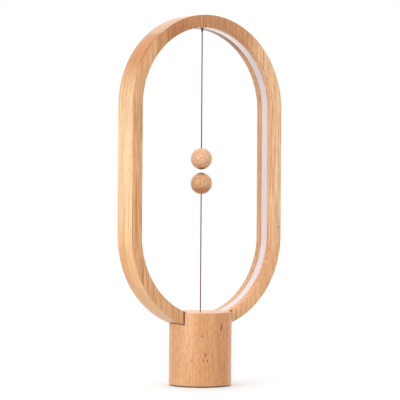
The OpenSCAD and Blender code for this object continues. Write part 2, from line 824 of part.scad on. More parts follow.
// A ball whose partner is in direction +Z: cord hole at the bottom, room for knot and magnet at the top
module ball_shell() {
    difference() {
        sphere(r = ball_r);
        translate([0, 0, magnet_start - fit]) cylinder(r = magnet_d / 2 + fit, h = ball_r);
        translate([0, 0, -ball_r - past]) cylinder(r = cord_hole_r, h = ball_r + knot_place + past);
        translate([0, 0, knot_place - knot_r - fit]) cylinder(r = knot_hole_r, h = ball_r);
    }
}

module ball_magnet() {
    translate([0, 0, magnet_start]) cylinder(r = magnet_d / 2, h = magnet_t);
}

module ball_plug() {
    intersection() {
        sphere(r = ball_r);
        translate([0, 0, plug_start]) cylinder(r = magnet_d / 2 + fit / 2, h = ball_r);
    }
}

module upper_way() {
    translate([0, 0, upper_ball_z]) mirror([0, 0, 1]) children();
}

module lower_way() {
    translate([0, 0, lower_ball_z]) children();
}

module upper_cord_knot() {
    color(cord_red) upper_way() translate([0, 0, knot_place]) knot();
}

module knot() {
    difference() {
        sphere(r = knot_r);
        translate([0, 0, -knot_r - past]) cylinder(r = cord_r, h = past + 0.1);
    }
}

module upper_ball() {
    color(pale_wood) upper_way() ball_shell();
}

module upper_magnet() {
    color(nickel) upper_way() ball_magnet();
}

module upper_ball_plug() {
    color(plug_wood) upper_way() ball_plug();
}

module base_eyelet() {
    flare = 2.5;
    edge = 0.6;
    color(nickel) difference() {
        union() {
            translate([0, 0, base_h - base_eyelet_l]) cylinder(r = base_eyelet_d / 2, h = base_eyelet_l);
            translate([0, 0, base_h - base_rim_t]) cylinder(r = base_rim_d / 2, h = base_rim_t);
        }
        translate([0, 0, base_h - base_eyelet_l - past])
            cylinder(r = eyelet_bore / 2, h = base_eyelet_l + 2 * past);
        translate([0, 0, base_h - flare])
            cylinder(r1 = eyelet_bore / 2, r2 = base_rim_d / 2 - edge, h = flare + 0.01);
    }
}

module cord_stop() {
    color(nickel) translate([0, 0, stop_top - stop_h]) difference() {
        cylinder(r = stop_d / 2, h = stop_h);
        translate([0, 0, -past]) cylinder(r = cord_r + 0.02, h = stop_h + 2 * past);
    }
}

module lower_cord_tail() {
    low = stop_top - stop_h - 0.8;
    color(cord_red) translate([0, 0, low]) cylinder(r = cord_r, h = base_h - low);
}

module lower_cord_bend() {
    color(cord_red) translate([0, 0, lower_pivot]) sphere(r = bend_r);
}

module lower_cord() {
    top = lower_ball_z - ball_r + cord_into_ball;
    color(cord_red) translate([0, 0, lower_cord_z]) cylinder(r = cord_r, h = top - lower_cord_z);
}

module lower_cord_knot() {
    color(cord_red) lower_way() translate([0, 0, knot_place]) sphere(r = knot_r);
}

module lower_ball() {
    color(wood) lower_way() ball_shell();
}

module lower_magnet() {
    color(nickel) lower_way() ball_magnet();
}

module lower_ball_plug() {
    color(plug_wood) lower_way() ball_plug();
}

frame_front_half();
frame_rear_half();
frame_screws();
diffuser();
led_strip();
led_chips();
base_body();
foot_pad();
bottom_cover();
cover_screws();
ballast();
ballast_screw();
main_board();
board_spacers();
board_screws();
driver_chip();
inductor();
capacitor();
led_connector();
switch_connector();
led_leads();
switch_leads();
power_socket();
socket_tongue();
switch_bracket();
bracket_screws();
switch_housing();
switch_plunger();
switch_terminals();
switch_screws();
switch_lever();
lever_pin();
upper_eyelet();
upper_cord_anchor();
upper_cord_bead();
upper_cord();
upper_cord_knot();
upper_ball();
upper_magnet();
upper_ball_plug();
base_eyelet();
cord_stop();
lower_cord_tail();
lower_cord_bend();
lower_cord();
lower_cord_knot();
lower_ball();
lower_magnet();
lower_ball_plug();
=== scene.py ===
"""Magnetic balance lamp: the looks of the beech ring, its base, the balls and their cords.

Every length is in metres unless its name ends in _mm. The lamp faces -Y, +Z is up and the origin
is on the table under the middle of the base.
"""

from __future__ import annotations

import json
import logging
import math
from collections.abc import Callable, Iterator
from contextlib import contextmanager
from dataclasses import dataclass
from enum import Enum
from functools import partialmethod
from typing import Any, TypeAlias

import bmesh
import bpy
from bpy.types import Material, Object
from mathutils import Matrix, Vector

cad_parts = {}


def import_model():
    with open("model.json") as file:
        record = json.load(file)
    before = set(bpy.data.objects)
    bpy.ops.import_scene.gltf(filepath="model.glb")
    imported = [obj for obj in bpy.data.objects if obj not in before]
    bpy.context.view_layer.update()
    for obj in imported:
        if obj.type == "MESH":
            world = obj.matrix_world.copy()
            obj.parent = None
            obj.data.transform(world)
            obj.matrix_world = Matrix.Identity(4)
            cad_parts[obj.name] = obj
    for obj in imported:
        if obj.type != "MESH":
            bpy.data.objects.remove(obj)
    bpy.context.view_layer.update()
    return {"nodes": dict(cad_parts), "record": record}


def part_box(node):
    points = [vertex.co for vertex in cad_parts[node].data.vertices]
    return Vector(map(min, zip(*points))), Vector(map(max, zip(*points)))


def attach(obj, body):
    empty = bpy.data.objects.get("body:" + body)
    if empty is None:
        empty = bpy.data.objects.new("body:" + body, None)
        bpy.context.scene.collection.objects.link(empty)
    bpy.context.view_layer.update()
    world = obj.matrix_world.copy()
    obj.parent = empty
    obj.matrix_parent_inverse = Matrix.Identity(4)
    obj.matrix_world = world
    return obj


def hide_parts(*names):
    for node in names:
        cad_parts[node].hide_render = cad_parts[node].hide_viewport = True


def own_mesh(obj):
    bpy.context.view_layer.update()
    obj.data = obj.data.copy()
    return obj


LOG = logging.getLogger("lamp")
MM = 0.001
SAME = 1e-6  # points nearer than this are one
IMAGE_SIDE = 400
SENSOR_MM = 36.0
EYELET_BORE = 1.6 * MM
CORD_BORE = 1.3 * MM
EYELET_RIM = 0.6 * MM

Colour = tuple[float, float, float]
Point = tuple[float, float, float]
Knot = tuple[float, float, float, float, float]
Value: TypeAlias = "Socket | float"
Tint: TypeAlias = "tuple[Value, Colour]"
Boards: TypeAlias = "tuple[Value, list[Tint]]"
Test = Callable[[Any], bool]
ORIGIN: Point = (0.0, 0.0, 0.0)
WHITE: Colour = (1.0, 1.0, 1.0)


# ---- shader building ----


class Socket:
    """One output socket of a shader, on which Python's operators add Math nodes."""

    def __init__(self, build: NodeBuild, output: bpy.types.NodeSocket) -> None:
        """Wraps a socket, and keeps the builder of its tree."""
        self.build = build
        self.output = output

    def _math(self, operation: str, *others: Value) -> Socket:
        """Adds a Math node on this value and others, and returns its result."""
        inputs = dict(enumerate((self, *others)))
        return self.build.node("ShaderNodeMath", {"operation": operation}, inputs)

    __add__ = __radd__ = partialmethod(_math, "ADD")
    __sub__ = partialmethod(_math, "SUBTRACT")
    __mul__ = __rmul__ = partialmethod(_math, "MULTIPLY")
    __pow__ = partialmethod(_math, "POWER")
    __gt__ = partialmethod(_math, "GREATER_THAN")
    __lt__ = partialmethod(_math, "LESS_THAN")
    __abs__ = partialmethod(_math, "ABSOLUTE")
    sine = partialmethod(_math, "SINE")
    larger = partialmethod(_math, "MAXIMUM")

    def __rsub__(self, other: float) -> Socket:
        """The difference from a plain number."""
        return self * -1.0 + other

    def ramp(self, low: float, high: float, start: float = 0.0, end: float = 1.0) -> Socket:
        """Maps low..high smoothly onto start..end, and holds those beyond."""
        inputs = {"Value": self, "From Min": low, "From Max": high, "To Min": start, "To Max": end}
        return self.build.node("ShaderNodeMapRange", {"interpolation_type": "SMOOTHSTEP"}, inputs)


class NodeBuild:
    """Adds nodes to one tree."""

    def __init__(self, tree: bpy.types.NodeTree) -> None:
        """Takes a tree and empties it."""
        self.tree = tree
        self.tree.nodes.clear()

    def node(
        self,
        kind: str,
        settings: dict[str, Any] | None = None,
        inputs: dict[str | int, Any] | None = None,
        output: str | int | None = 0,
    ) -> Socket | None:
        """Adds a node of any type.

        Args:
            kind: The node's type.
            settings: Its properties, set before its sockets.
            inputs: Values or sockets for its inputs, by name or number.
            output: The output to return, or None for a node that has none.

        Returns:
            That output, wrapped.
        """
        made = self.tree.nodes.new(kind)
        for name, value in (settings or {}).items():
            setattr(made, name, value)
        for name, value in (inputs or {}).items():
            socket = made.inputs[name]
            if isinstance(value, Socket):
                self.tree.links.new(value.output, socket)
            else:
                socket.default_value = (*value, 1.0) if socket.type == "RGBA" else value
        return None if output is None else Socket(self, made.outputs[output])

    def axes(self, point: Socket) -> list[Socket]:
        """The X, Y and Z of a point."""
        parts = self.node("ShaderNodeSeparateXYZ", {}, {0: point}).output.node
        return [Socket(self, output) for output in parts.outputs]

    def mix(self, share: Value, first: Any, second: Any, blend: str = "MIX") -> Socket:
        """Blends as much of the second colour into the first as the share says."""
        settings = {"data_type": "RGBA", "clamp_factor": True, "blend_type": blend}
        return self.node("ShaderNodeMix", settings, {0: share, 6: first, 7: second}, 2)

    def tint(self, colour: Socket, *tints: Tint) -> Socket:
        """Multiplies a colour by other colours in turn.

        Args:
            colour: The colour to start from.
            *tints: Pairs of a share and the colour that acts to that share.

        Returns:
            The tinted colour.
        """
        for share, other in tints:
            colour = self.mix(share, colour, other, "MULTIPLY")
        return colour


class ShaderBuild(NodeBuild):
    """Builds one material out of nodes."""

    def __init__(self, name: str) -> None:
        """Starts an empty material of this name."""
        self.material = bpy.data.materials.new(name)
        self.material.use_nodes = True
        super().__init__(self.material.node_tree)
        self.point = self.node("ShaderNodeTexCoord", output="Object")

    def place(self, pitch: Point | float, shift: Point = ORIGIN) -> Socket:
        """The point on the object, scaled for a pattern.

        Args:
            pitch: How many pattern units there are in a metre, along each axis or along all.
            shift: A shift of the pattern, in pattern units.

        Returns:
            The scaled point.
        """
        scale = pitch if isinstance(pitch, tuple) else (pitch,) * 3
        inputs = {"Vector": self.point, "Location": shift, "Scale": scale}
        return self.node("ShaderNodeMapping", {}, inputs)

    def noise(self, pitch: Point | float, shift: Point = ORIGIN, detail: float = 2.0) -> Socket:
        """A soft noise from 0 to 1, laid out as place does."""
        inputs = {"Vector": self.place(pitch, shift), "Scale": 1.0, "Detail": detail}
        return self.node("ShaderNodeTexNoise", {}, inputs)

    def bump(self, height: Socket, distance: float, strength: float) -> Socket:
        """Turns a height into a bent normal."""
        inputs = {"Height": height, "Distance": distance, "Strength": strength}
        return self.node("ShaderNodeBump", {}, inputs)

    def finish(self, **inputs: Any) -> Material:
        """Adds the surface shader and its output.

        Args:
            **inputs: The surface shader's values or sockets, with _ for each space in a name.

        Returns:
            The finished material.
        """
        named = {name.replace("_", " "): value for name, value in inputs.items()}
        surface = self.node("ShaderNodeBsdfPrincipled", {}, named)
        self.node("ShaderNodeOutputMaterial", {}, {"Surface": surface}, None)
        return self.material


# ---- finishes ----


@dataclass(frozen=True, kw_only=True)
class Beech:
    """Oiled beech with upright grain: growth layers, dapple, fine flecks and a few dark marks."""

    name: str
    pale: Colour = (0.83, 0.462, 0.226)
    deep: Colour = (0.70, 0.36, 0.158)
    fleck: Colour = (0.40, 0.17, 0.065)
    mark: Colour = (0.07, 0.022, 0.010)
    long_mark: Colour = (0.86, 0.66, 0.48)
    grain: Colour = (0.71, 0.62, 0.53)
    shift: Point = ORIGIN
    broad_pitch: Point = (26.0, 26.0, 9.0)
    streak_pitch: Point = (430.0, 430.0, 12.0)
    dapple_pitch: Point = (640.0, 640.0, 210.0)
    fibre_pitch: Point = (2600.0, 2600.0, 110.0)
    pore_pitch: Point = (900.0, 900.0, 260.0)
    fleck_pitch: Point = (390.0, 390.0, 125.0)
    grain_pitch: Point = (860.0, 860.0, 210.0)
    line_pitch: Point = (780.0, 780.0, 16.0)
    layer_gap_mm: float = 3.1
    layer_way: Point = (0.42, 0.9, 0.06)
    layer_share: float = 0.07
    pore_share: float = 0.5
    fleck_share: float = 0.6
    dash_share: float = 0.55
    streak_share: float = 0.25
    soft: float = 0.15
    varnish: float = 0.12
    long_mark_mm: float = 10.0
    knots_mm: tuple[Knot, ...] = ()

    def material(self) -> Material:
        """Builds the wood's material."""
        build = ShaderBuild(self.name)
        axes = build.axes(build.point)
        grain_share, tints = self._boards(build, axes)
        broad, dapple, fibre = (
            build.noise(pitch, self.shift)
            for pitch in (self.broad_pitch, self.dapple_pitch, self.fibre_pitch)
        )
        streak = build.noise(self.streak_pitch, self.shift, 3.0)
        inputs = {0: build.place(1.0 / MM, self.shift), 1: self.layer_way}
        across = build.node("ShaderNodeVectorMath", {"operation": "DOT_PRODUCT"}, inputs, "Value")
        layers = (across * (math.tau / self.layer_gap_mm) + 11.0 * broad).sine().ramp(-1.0, 1.0)
        pores = self._spindles(build, self.pore_pitch, self.pore_share, 0.26)
        flecks = self._spindles(build, self.fleck_pitch, self.fleck_share, 0.21)
        strokes = self.streak_share * streak + (0.59 - self.streak_share) * dapple + 0.15 * fibre
        tone = strokes + 0.26 * broad + self.layer_share * (layers - 0.5)
        colour = build.mix(tone.ramp(0.5 - self.soft, 0.5 + self.soft), self.pale, self.deep)
        colour = build.mix(0.28 * pores + 0.5 * flecks, colour, self.fleck)
        dashes = build.noise(self.grain_pitch, self.shift, 1.0).ramp(0.38, 0.64)
        lines = build.noise(self.line_pitch, self.shift, 1.0).ramp(0.42, 0.68)
        drawn = self.dash_share * dashes + (1.0 - self.dash_share) * lines
        colour = build.tint(colour, (grain_share * drawn, self.grain), *tints)
        colour = self._knots(build, axes, colour)
        height = 0.6 * fibre + 0.2 * dapple - 0.5 * pores - 0.9 * flecks
        return build.finish(
            Base_Color=colour,
            Roughness=0.38 + 0.12 * fibre + 0.1 * flecks,
            Coat_Weight=self.varnish,
            Coat_Roughness=0.2,
            Normal=build.bump(height, 0.00008, 0.5),
        )

    def _spindles(self, build: ShaderBuild, pitch: Point, share: float, size: float) -> Socket:
        """Upright spindle-shaped flecks.

        Args:
            build: The material's builder.
            pitch: How many cells there are in a metre, along each axis.
            share: The share of the cells that have a fleck.
            size: The largest fleck's half width, in cells.

        Returns:
            One on a fleck and zero beside it.
        """
        cell = {"Vector": build.place(pitch, self.shift), "Scale": 1.0}
        near, drawn = (
            build.node("ShaderNodeTexVoronoi", {}, cell, output) for output in ("Distance", "Color")
        )
        chance = build.node("ShaderNodeSeparateColor", {}, {0: drawn})
        return (chance.ramp(1.0 - share, 1.0, 0.0, size) - near).ramp(0.0, size / 2)

    def _knots(self, build: ShaderBuild, axes: list[Socket], colour: Socket) -> Socket:
        """Draws the dark marks: ellipsoids by X, Y and Z, half the width and half the height.

        Args:
            build: The material's builder.
            axes: The X, Y and Z of the point.
            colour: The wood's colour.

        Returns:
            The colour with the marks, the long ones as soft streaks.
        """
        for *place, half_width, half_height in self.knots_mm:
            sizes = (half_width, half_width, half_height)
            x, y, z = (
                (axis - at * MM) * (1.0 / (size * MM)) for axis, at, size in zip(axes, place, sizes)
            )
            off = (x * x + y * y + z * z) ** 0.5
            if half_height > self.long_mark_mm:
                colour = build.tint(colour, (off.ramp(1.0, 0.2), self.long_mark))
            else:
                share = off.ramp(1.2, 0.6) * min(1.0, 0.4 + 0.22 * half_height)
                colour = build.mix(share, colour, self.mark)
        return colour

    def _boards(self, build: ShaderBuild, axes: list[Socket]) -> Boards:
        """How strongly the grain shows, and the boards' tones; plain wood is one board."""
        return 1.0, []


@dataclass(frozen=True, kw_only=True)
class RingBeech(Beech):
    """The ring's wood: in each half a top board and two side boards, butted above the shoulders."""

    lamp: Lamp
    name: str = "beech_frame"
    pale: Colour = (0.87, 0.49, 0.244)
    deep: Colour = (0.735, 0.383, 0.171)
    mark: Colour = (0.36, 0.16, 0.07)
    grain: Colour = (0.61, 0.50, 0.40)
    shift: Point = (3.1, 7.7, 0.4)
    grain_pitch: Point = (860.0, 860.0, 110.0)
    dash_share: float = 0.28
    streak_share: float = 0.40
    knots_mm: tuple[Knot, ...] = (
        (96.4, -13.5, 171.2, 2.2, 1.0),
        (-92.0, 13.5, 214.0, 2.0, 0.8),
        (-94.6, -13.5, 186.0, 2.6, 62.0),
        (-94.6, -13.5, 166.4, 0.5, 3.0),
        (-94.9, -13.5, 197.0, 0.5, 2.6),
        (95.2, 13.5, 236.0, 2.6, 48.0),
    )
    joint_deg: float = 40.4
    line: float = 0.3 * MM
    skin: float = 0.35 * MM
    outer_calm: float = 0.25
    arch: Colour = (0.76, 0.64, 0.56)
    left_arch: Colour = (0.93, 0.86, 0.76)
    right_front: Colour = (1.17, 1.35, 1.60)
    right_low: Colour = (0.94, 0.83, 0.74)
    inner_lip: Colour = (0.88, 0.83, 0.82)
    # Painted shade: darkens and greys the far lip under the arch, where shade falls in the groove.
    far_lip_shade: Colour = (0.60, 0.60, 0.66)
    outer: Colour = (1.09, 1.28, 1.44)
    outer_arch: Colour = (0.69, 0.58, 0.54)
    outer_high: Colour = (0.62, 0.36, 0.15)
    outer_front: Colour = (0.97, 1.07, 1.16)
    outer_low: Colour = (0.98, 0.82, 0.68)
    rear: Colour = (0.94, 0.95, 0.94)
    glue: Colour = (0.62, 0.47, 0.38)
    shade: Colour = (0.30, 0.18, 0.12)

    def _boards(self, build: ShaderBuild, axes: list[Socket]) -> Boards:
        """Finds the boards, breaks the grain at each joint, and bends it along the outer side.

        Args:
            build: The material's builder, whose point is moved for the grain.
            axes: The point's X, Y and Z.

        Returns:
            How strongly the grain shows, the tones of boards, sides and glue, and painted shade on
            the far lip under the arch and where the ring enters the base.
        """
        lamp = self.lamp
        x, y, z = axes
        angle = math.radians(self.joint_deg)
        past_joint = (z - lamp.top_c) * math.sin(angle) - abs(x) * math.cos(angle)
        beyond = (z - lamp.top_c).larger(0.0) - (lamp.low_c - z).larger(0.0)
        reach = (x * x + beyond * beyond) ** 0.5
        off_base = abs((x * x + y * y) ** 0.5 - lamp.base_r)
        face = (z < lamp.low_c) * (y < self.skin - lamp.half_depth)
        arch, past = past_joint.ramp(-0.022, 0.016), past_joint > 0.0
        high = z.ramp(lamp.top_c + 0.002, lamp.top_c + 0.058)
        low = z.ramp(lamp.low_c + 0.03, lamp.low_c - 0.03)
        right, front = x.ramp(0.0, 0.07), y < 0.0
        outer = reach > lamp.ring_r - self.skin
        inner = reach < lamp.inner_r + self.skin
        flat = 1.0 - outer
        jump = 0.37 * outer * past + 0.71 * front
        bent = outer * (lamp.ring_r - x)
        moved = build.node("ShaderNodeCombineXYZ", {}, {0: bent + jump, 1: jump, 2: jump})
        settings = {"operation": "ADD"}
        build.point = build.node("ShaderNodeVectorMath", settings, {0: build.point, 1: moved})
        return 1.0 - self.outer_calm * outer, [
            (arch * (1.0 - 0.45 * right) * flat, self.arch),
            (arch * x.ramp(0.01, -0.05) * flat, self.left_arch),
            ((1.0 - arch) * front * right, self.right_front),
            (low * front * right * flat, self.right_low),
            (inner * right * (0.4 + 0.6 * front), self.inner_lip),
            # Painted shade on the far lip under the arch.
            (inner * arch * (1.0 - front), self.far_lip_shade),
            (outer, self.outer),
            (outer * past * (1.0 - right), self.outer_arch),
            (outer * (1.0 - past) * high, self.outer_high),
            (outer * front, self.outer_front),
            (outer * low, self.outer_low),
            (1.0 - front, self.rear),
            ((abs(past_joint) < self.line) * outer, self.glue),
            (off_base.ramp(1.7 * MM, 0.6 * MM) * face, self.shade),
        ]


@dataclass(frozen=True, kw_only=True)
class BaseBeech(Beech):
    """The base's wood, with a dark line along the ring's slot that is partly glue and partly painted
    shade of the gap, a painted shadow along its lower rim, and a few dark knots of grain.
    """

    lamp: Lamp
    name: str = "beech_base"
    pale: Colour = (0.79, 0.412, 0.194)
    deep: Colour = (0.67, 0.328, 0.145)
    grain: Colour = (0.76, 0.66, 0.56)
    shift: Point = (11.3, 2.9, 5.2)
    soft: float = 0.3
    knots_mm: tuple[Knot, ...] = (
        (2.95, -33.87, 63.9, 0.85, 4.4),
        (-18.2, -28.7, 54.8, 0.6, 1.8),
        (-15.2, -30.4, 34.8, 0.65, 2.2),
        (-17.4, -29.2, 29.2, 0.55, 1.5),
        (-13.2, -31.3, 28.4, 0.6, 1.8),
        (-26.8, -20.9, 29.0, 0.6, 1.0),
        (-24.0, -24.0, 13.3, 0.6, 0.9),
        (-29.6, -16.7, 66.2, 0.5, 1.2),
        (21.5, 26.3, 47.0, 0.6, 2.4),
        (-30.6, 14.8, 38.0, 0.6, 1.8),
    )
    line: float = 0.9 * MM
    # Painted highlight and shade: the side towards the key light gets a paler, whiter painted sheen
    # band, the rest is a little darker, and the side turned away is darker still.
    sheen_way: tuple[float, float] = (-0.916, -0.400)
    painted_sheen_side: Colour = (1.0, 1.06, 1.13)
    off_sheen_side: Colour = (0.945, 0.94, 0.92)
    painted_shade_side: Colour = (1.0, 0.93, 0.91)
    # Glue and painted shade: the dark line along the slot stands for glue and for the shade in the
    # narrow gap round the ring.
    glue: Colour = (0.05, 0.022, 0.012)
    # Painted shadow: darkens the lowest millimetre of the wood, where the contact shadow over the
    # foot falls.
    rim: Colour = (0.42, 0.36, 0.32)

    def _boards(self, build: ShaderBuild, axes: list[Socket]) -> Boards:
        """Finds the painted sheen and shade on the sides, the slot's mouth and the lower rim.

        Args:
            build: The material's builder.
            axes: The point's X, Y and Z.

        Returns:
            How strongly the grain shows, and the tints of the painted sheen and shade on the sides,
            of the glue with its painted gap shade, and of the rim's painted shadow.
        """
        lamp = self.lamp
        x, y, z = axes
        across, along = (part / lamp.base_r for part in self.sheen_way)
        turned = x * across + y * along
        # Where the painted sheen band lies.
        pale = turned.ramp(0.84, 0.97)
        reach = (x * x + (z - lamp.low_c) * (z - lamp.low_c)) ** 0.5
        off_slot = (abs(y) - lamp.half_depth).larger(reach - lamp.ring_r)
        below_top = z < lamp.base_h - 0.3 * MM
        return 1.0, [
            # Painted sheen band, then painted shade on the rest and on the far side.
            (pale, self.painted_sheen_side),
            (1.0 - pale, self.off_sheen_side),
            (turned.ramp(0.5, 0.1), self.painted_shade_side),
            # Glue line with painted gap shade along the slot's mouth.
            (off_slot.ramp(self.line, self.line / 2) * below_top, self.glue),
            # Painted contact shadow along the lower rim.
            (z.ramp(lamp.wood_low + 1.3 * MM, lamp.wood_low + 0.3 * MM), self.rim),
        ]


@dataclass(frozen=True, kw_only=True)
class BallBeech(Beech):
    """The balls' wood: the upper ball is cut from a paler piece than the lower one; painted shade
    darkens the upper ball's underside, the poles where the balls face each other and the lower ball's
    bottom.
    """

    lamp: Lamp
    name: str = "beech_ball"
    shift: Point = (5.9, 13.1, 8.8)
    layer_gap_mm: float = 2.3
    layer_way: Point = (0.80, 0.60, 0.05)
    layer_share: float = 0.24
    varnish: float = 0.45
    upper: Colour = (1.08, 1.21, 1.50)
    # Painted shade on the upper ball's underside.
    under: Colour = (0.84, 0.82, 0.80)
    lower: Colour = (0.90, 0.92, 0.98)
    # Painted shade: the lower ball gets darker and more orange towards its bottom.
    foot: Colour = (0.84, 0.65, 0.46)
    # Painted shade where the balls face each other across the gap.
    painted_gap_shade: Colour = (0.42, 0.31, 0.25)

    def _boards(self, build: ShaderBuild, axes: list[Socket]) -> Boards:
        """Tells the balls apart, and lays the upper ball's grain level.

        Args:
            build: The material's builder, whose point is turned for the grain.
            axes: The point's X, Y and Z.

        Returns:
            How strongly the grain shows, the tones of the balls, and their painted shade.
        """
        x, y, z = axes
        height = z - self.lamp.meeting
        above = height > 0.0
        level = build.node("ShaderNodeCombineXYZ", {}, {0: z, 1: y + 0.25 * z, 2: x})
        build.point = build.mix(above, build.point, level)
        return 1.0, [
            (above, self.upper),
            (1.0 - above, self.lower),
            # Painted shade on the upper ball's underside.
            (height.ramp(10 * MM, 4 * MM) * above, self.under),
            # Painted shade near the gap between the balls.
            (abs(height).ramp(4.6 * MM, 1.5 * MM), self.painted_gap_shade),
            # Painted shade towards the lower ball's bottom.
            (height.ramp(-15 * MM, -21 * MM), self.foot),
        ]


@dataclass(frozen=True)
class MilkyPlastic:
    """The diffuser: milky plastic, lit from behind, with a painted glow under the arch that brightens
    the down-facing strip there.
    """

    lamp: Lamp
    name: str = "milky_diffuser"
    body: Colour = (0.64, 0.56, 0.58)
    glow: Colour = (0.18, 0.165, 0.167)
    # Painted light: a stronger, peach glow under the arch makes up for the light the down-facing
    # strip misses.
    painted_arch_glow: Colour = (1.0, 0.82, 0.58)
    strength: float = 0.33
    sheen: float = 0.8

    def material(self) -> Material:
        """Builds the diffuser's material."""
        build = ShaderBuild(self.name)
        cloud = build.noise(60.0)
        grain = build.noise(3000.0, detail=1.0)
        paler = tuple(c * 1.06 for c in self.body)
        *_, z = build.axes(build.point)
        # Where the painted glow under the arch starts.
        arch = z.ramp(self.lamp.top_c + 0.045, self.lamp.top_c + 0.087)
        return build.finish(
            Base_Color=build.mix(cloud, self.body, paler),
            Roughness=0.42 + 0.1 * grain,
            Emission_Color=build.mix(arch, self.glow, self.painted_arch_glow),
            Emission_Strength=self.strength,
            Sheen_Weight=self.sheen,
            Sheen_Roughness=0.35,
            Normal=build.bump(grain, 0.00002, 0.3),
        )


@dataclass(frozen=True)
class TwistedThread:
    """Waxed cotton thread, twisted from plies."""

    name: str = "cord"
    light: Colour = (0.25, 0.022, 0.018)
    dark: Colour = (0.12, 0.010, 0.009)

    def material(self) -> Material:
        """Builds the thread's material."""
        build = ShaderBuild(self.name)
        fibre = build.noise((5200.0, 5200.0, 1500.0), detail=3.0)
        worn = build.noise(90.0)
        tone = (0.65 * fibre + 0.35 * worn).ramp(0.3, 0.7)
        return build.finish(
            Base_Color=build.mix(tone, self.dark, self.light),
            Roughness=0.8 + 0.2 * fibre,
            Specular_IOR_Level=0.05,
            Normal=build.bump(fibre, 0.00004, 0.6),
        )


@dataclass(frozen=True)
class MouldedPlastic:
    """Moulded plastic or rubber with a fine grain from its mould."""

    name: str
    colour: Colour
    roughness: float
    grain_mm: float = 0.35
    variation: float = 0.12

    def material(self) -> Material:
        """Builds the plastic's material."""
        build = ShaderBuild(self.name)
        grain = build.noise(1.0 / (self.grain_mm * MM))
        cloud = build.noise(70.0)
        darker = tuple(c * (1.0 - self.variation) for c in self.colour)
        return build.finish(
            Base_Color=build.mix(0.6 * cloud + 0.4 * grain, darker, self.colour),
            Roughness=self.roughness - 0.06 + 0.12 * grain,
            Normal=build.bump(grain, self.grain_mm * MM * 0.08, 0.35),
        )


@dataclass(frozen=True)
class WorkedMetal:
    """Metal with the fine marks of rolling, turning or plating."""

    name: str
    colour: Colour
    roughness: float
    mark_pitch: Point = (300.0, 300.0, 3000.0)

    def material(self) -> Material:
        """Builds the metal's material."""
        build = ShaderBuild(self.name)
        marks = build.noise(self.mark_pitch, detail=3.0)
        cloud = build.noise(110.0)
        darker = tuple(c * 0.82 for c in self.colour)
        return build.finish(
            Base_Color=build.mix(0.5 * marks + 0.5 * cloud, darker, self.colour),
            Metallic=1.0,
            Roughness=self.roughness - 0.08 + 0.16 * marks,
            Normal=build.bump(marks, 0.00001, 0.3),
        )


@dataclass(frozen=True)
class SolderMask:
    """A circuit board's green coat, over tracks that show a little paler."""

    name: str = "circuit_board"
    coat: Colour = (0.012, 0.105, 0.045)
    track: Colour = (0.035, 0.21, 0.085)
    track_mm: float = 2.2

    def material(self) -> Material:
        """Builds the board's material."""
        build = ShaderBuild(self.name)
        cell = {"Vector": build.place(1.0 / (self.track_mm * MM)), "Scale": 1.0, "Randomness": 0.55}
        settings = {"feature": "DISTANCE_TO_EDGE"}
        tracks = build.node("ShaderNodeTexVoronoi", settings, cell, "Distance").ramp(0.16, 0.2)
        return build.finish(
            Base_Color=build.mix(tracks, self.coat, self.track),
            Roughness=0.24 + 0.1 * tracks,
            Normal=build.bump(tracks, 0.00004, 0.5),
        )


def finishes(lamp: Lamp) -> dict[str, Material]:
    """All materials, by the record's slot names.

    Args:
        lamp: The lamp's sizes.

    Returns:
        The material of each slot.
    """
    # The plugs are stained dark, and their darkness also stands in for the shade where the balls face
    # each other.
    plug = {"pale": (0.26, 0.13, 0.07), "deep": (0.17, 0.08, 0.042), "shift": (1.7, 4.3, 2.6)}
    made = [
        RingBeech(lamp=lamp),
        BaseBeech(lamp=lamp),
        BallBeech(lamp=lamp),
        Beech(name="beech_plug", **plug),
        MilkyPlastic(lamp),
        MouldedPlastic("strip_board", (0.80, 0.80, 0.77), 0.4),
        MouldedPlastic("led_resin", (0.86, 0.66, 0.10), 0.2, 0.2),
        TwistedThread(),
        MouldedPlastic("black_plastic", (0.018, 0.018, 0.020), 0.42),
        MouldedPlastic("white_plastic", (0.70, 0.70, 0.67), 0.45),
        MouldedPlastic("red_plastic", (0.42, 0.02, 0.015), 0.35),
        MouldedPlastic("rubber", (0.028, 0.026, 0.026), 0.8, 0.5),
        WorkedMetal("steel", (0.56, 0.57, 0.58), 0.34),
        WorkedMetal("nickel", (0.72, 0.71, 0.69), 0.22),
        WorkedMetal("brass", (0.71, 0.50, 0.20), 0.3),
        SolderMask(),
        MouldedPlastic("lead_wire", (0.25, 0.02, 0.015), 0.4),
    ]
    return {finish.name: finish.material() for finish in made}


# ---- modelling ----


def choose(*objects: Object) -> None:
    """Selects these objects alone, or nothing, and makes the first one active."""
    bpy.ops.object.select_all(action="DESELECT")
    for obj in objects:
        obj.select_set(True)
    if objects:
        bpy.context.view_layer.objects.active = objects[0]


@contextmanager
def editing(obj: Object, kind: str = "VERT", test: Test = bool) -> Iterator[None]:
    """Opens an object in edit mode with only those elements selected that pass a test.

    Args:
        obj: The object to edit.
        kind: VERT, EDGE or FACE.
        test: Says whether an element is wanted; by default each one is.
    """
    choose(obj)
    bpy.ops.object.mode_set(mode="EDIT")
    bpy.ops.mesh.select_all(action="DESELECT")
    bpy.ops.mesh.select_mode(type=kind)
    mesh = bmesh.from_edit_mesh(obj.data)
    for item in {"VERT": mesh.verts, "EDGE": mesh.edges, "FACE": mesh.faces}[kind]:
        if test(item):
            item.select_set(True)
    mesh.select_flush_mode()
    bmesh.update_edit_mesh(obj.data)
    yield
    bpy.ops.object.mode_set(mode="OBJECT")


